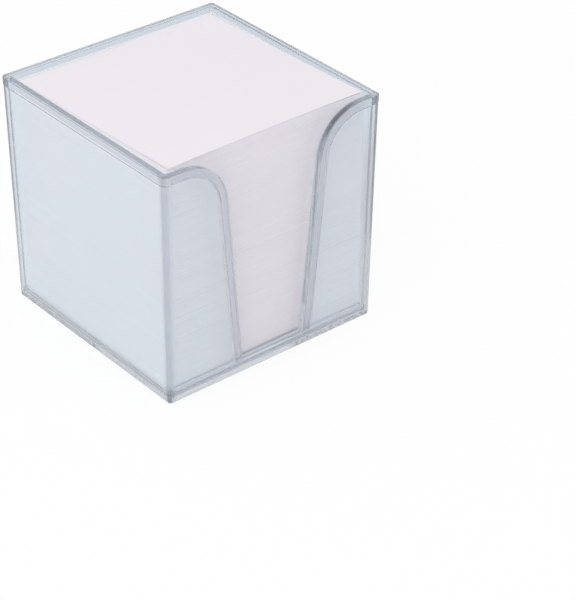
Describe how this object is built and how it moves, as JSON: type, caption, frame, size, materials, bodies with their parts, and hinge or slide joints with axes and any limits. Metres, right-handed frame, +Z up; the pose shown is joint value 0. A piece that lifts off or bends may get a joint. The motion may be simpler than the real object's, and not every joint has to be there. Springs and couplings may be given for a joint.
{
  "type": "memo note holder",
  "caption": "Clear plastic square box with an inner tray and a wide finger notch in its front wall, holding a block of loose white memo sheets.",
  "frame": {"origin": "middle of the underside, on the surface that the box stands on", "axes": "+Z up, out of the open top; -Y towards the user, out of the finger notch; +X to the right as seen from the notch"},
  "size_m": [0.1, 0.1, 0.096],
  "materials": {
    "clear_plastic": "clear glossy crystal plastic with a faint blue-grey cast",
    "white_paper": "matt uncoated white"
  },
  "bodies": {
    "case": {"outer_case": "clear_plastic"},
    "tray": {"inner_tray": "clear_plastic"},
    "block": {"memo_stack": "white_paper"},
    "sheet": {"top_sheet": "white_paper"}
  },
  "joints": [
    {"name": "tray_lift", "type": "slide", "parent": "case", "child": "tray", "axis": [0, 0, 1], "range_m": [0, 0.1]},
    {"name": "block_lift", "type": "slide", "parent": "tray", "child": "block", "axis": [0, 0, 1], "range_m": [0, 0.1]},
    {"name": "sheet_lift", "type": "slide", "parent": "block", "child": "sheet", "axis": [0, 0, 1], "range_m": [0, 0.05]}
  ]
}
